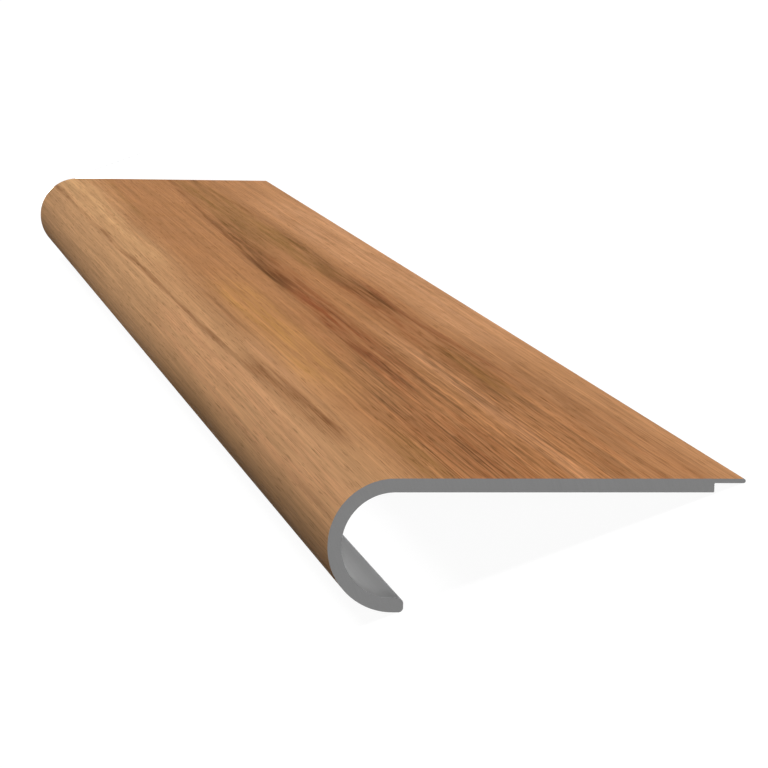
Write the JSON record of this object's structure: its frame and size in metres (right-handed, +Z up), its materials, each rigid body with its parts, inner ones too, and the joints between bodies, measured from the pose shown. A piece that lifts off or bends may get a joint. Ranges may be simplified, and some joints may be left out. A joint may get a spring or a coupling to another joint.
{
  "type": "landing nosing",
  "caption": "J-shaped vinyl stair landing nosing: a round nose that wraps the landing's edge, a flat leg, and a thin rear lip over the floor planks, wood-look on the faces that show.",
  "frame": {"origin": "on the floor that the part rests on, under the middle of the box that it fills", "axes": "+Y along the length, +X from the nose to the lip, level, +Z up; at rest the leg slopes down towards +X by 20.5 degrees"},
  "size_m": [0.1398, 1.194, 0.0437],
  "materials": {
    "grey_vinyl": "matte",
    "wood_look_film": "satin"
  },
  "bodies": {
    "root": {"vinyl_core": "grey_vinyl", "wood_film": "wood_look_film"}
  },
  "joints": []
}
